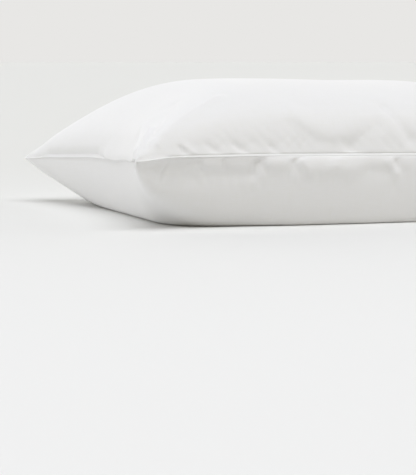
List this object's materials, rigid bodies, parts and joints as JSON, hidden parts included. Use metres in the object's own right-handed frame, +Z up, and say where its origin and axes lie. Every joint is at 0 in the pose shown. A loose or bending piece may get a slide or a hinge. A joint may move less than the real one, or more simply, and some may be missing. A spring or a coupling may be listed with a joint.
{
  "type": "pillowcase",
  "caption": "Filled plain white cotton pillowcase lying on its back: full crown, drawn-in sides, pointed sewn corners and an open hemmed mouth that droops past the fill.",
  "frame": {"origin": "on the surface that the case lies on, under the middle of its box", "axes": "+X from the closed end to the open mouth, along the long seams; +Z up; the front long seam, seen in the picture, is at -Y"},
  "size_m": [0.7146, 0.4972, 0.1611],
  "materials": {
    "cotton": "crisp plain-woven white cotton, matt with a faint sheen"
  },
  "bodies": {
    "root": {"pillowcase": "cotton"}
  },
  "joints": []
}
